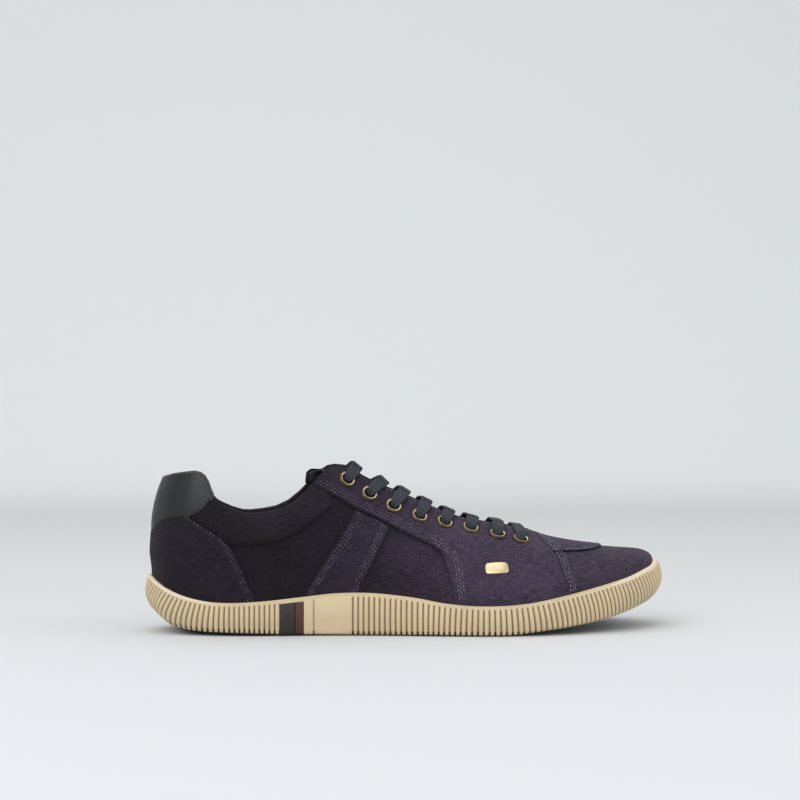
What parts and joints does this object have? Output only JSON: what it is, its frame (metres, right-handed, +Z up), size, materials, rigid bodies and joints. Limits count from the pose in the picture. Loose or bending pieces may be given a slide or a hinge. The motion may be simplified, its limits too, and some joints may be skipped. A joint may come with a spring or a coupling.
{
  "type": "canvas sneaker",
  "caption": "Low lace-up canvas sneaker for a right foot, hollow upper with leather heel tab on a finely ribbed cup sole.",
  "frame": {"origin": "on the sole's flat underside, below the middle of the upper's length", "axes": "+X towards the toe, +Y towards the inner (medial) side, +Z up; the shoe stands on z = 0"},
  "size_m": [0.2946, 0.1048, 0.0956],
  "materials": {
    "rubber": "matt beige rubber with fine upright ribs",
    "dark_rubber": "matt near-black rubber",
    "red_rubber": "matt dark red rubber",
    "canvas": "dark aubergine cotton canvas, fine weave",
    "overlay_canvas": "dark aubergine canvas with speckled stitch bands",
    "leather": "smooth black leather, soft sheen",
    "lining": "black textile lining",
    "brass": "polished pale brass with a bronze flange",
    "lace": "flat black waxed cotton lace"
  },
  "bodies": {
    "root": {"outsole": "rubber", "inlay_dark": "dark_rubber", "inlay_red": "red_rubber", "insole": "lining", "upper": "canvas", "tongue": "canvas", "eyestay": "overlay_canvas", "heel_counter": "overlay_canvas", "heel_tab": "leather", "cuff_lateral": "canvas", "cuff_medial": "canvas", "strap_lateral": "overlay_canvas", "strap_medial": "overlay_canvas", "toe_tab": "overlay_canvas", "trim_bar": "brass", "eyelet_lateral_1": "brass", "eyelet_lateral_2": "brass", "eyelet_lateral_3": "brass", "eyelet_lateral_4": "brass", "eyelet_lateral_5": "brass", "eyelet_lateral_6": "brass", "eyelet_lateral_7": "brass", "eyelet_lateral_8": "brass", "eyelet_medial_1": "brass", "eyelet_medial_2": "brass", "eyelet_medial_3": "brass", "eyelet_medial_4": "brass", "eyelet_medial_5": "brass", "eyelet_medial_6": "brass", "eyelet_medial_7": "brass", "eyelet_medial_8": "brass", "lace_bar_1": "lace", "lace_bar_2": "lace", "lace_bar_3": "lace", "lace_bar_4": "lace", "lace_bar_5": "lace", "lace_bar_6": "lace", "lace_bar_7": "lace", "lace_bar_8": "lace"}
  },
  "joints": []
}
